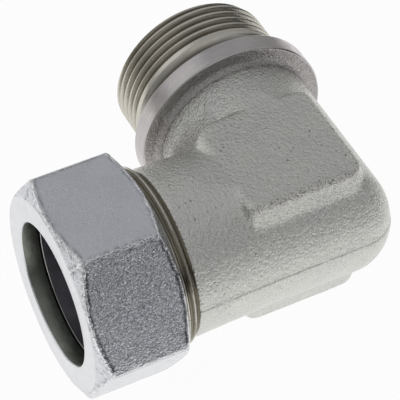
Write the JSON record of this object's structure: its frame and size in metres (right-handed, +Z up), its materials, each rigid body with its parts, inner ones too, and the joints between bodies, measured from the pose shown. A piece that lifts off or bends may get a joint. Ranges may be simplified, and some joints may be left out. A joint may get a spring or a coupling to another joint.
{
  "type": "hydraulic elbow fitting",
  "caption": "Forged steel right-angle tube fitting: union nut with cutting ring on one arm, collar and male thread on the other, flat spanner pads on both sides.",
  "frame": {"origin": "where the axes of the two arms cross", "axes": "-Y along the tube arm out through the nut, -X along the stud arm out of the stud, +Z up, square to both arms and out of the upper spanner pad"},
  "size_m": [0.0824, 0.0871, 0.0496],
  "materials": {
    "plated_forging": "matt zinc plating on a blasted forging",
    "plated_nut": "zinc plating, rough flats",
    "plated_ring": "turned and plated"
  },
  "bodies": {
    "elbow": {"elbow_body": "plated_forging"},
    "ring": {"cutting_ring": "plated_ring"},
    "nut": {"union_nut": "plated_nut"}
  },
  "joints": [
    {"name": "ring_slide", "type": "slide", "parent": "elbow", "child": "ring", "axis": [0, -1, 0], "range_m": [-0.0008, 0.01]},
    {"name": "nut_turn", "type": "hinge", "parent": "ring", "child": "nut", "pos_m": [0, -0.0507, 0], "axis": [0, -1, 0], "range_deg": [-144, 1800]}
  ],
  "couplings": [
    {"joint": "ring_slide", "follows": "nut_turn", "m_per_rad": 0.00031831}
  ]
}
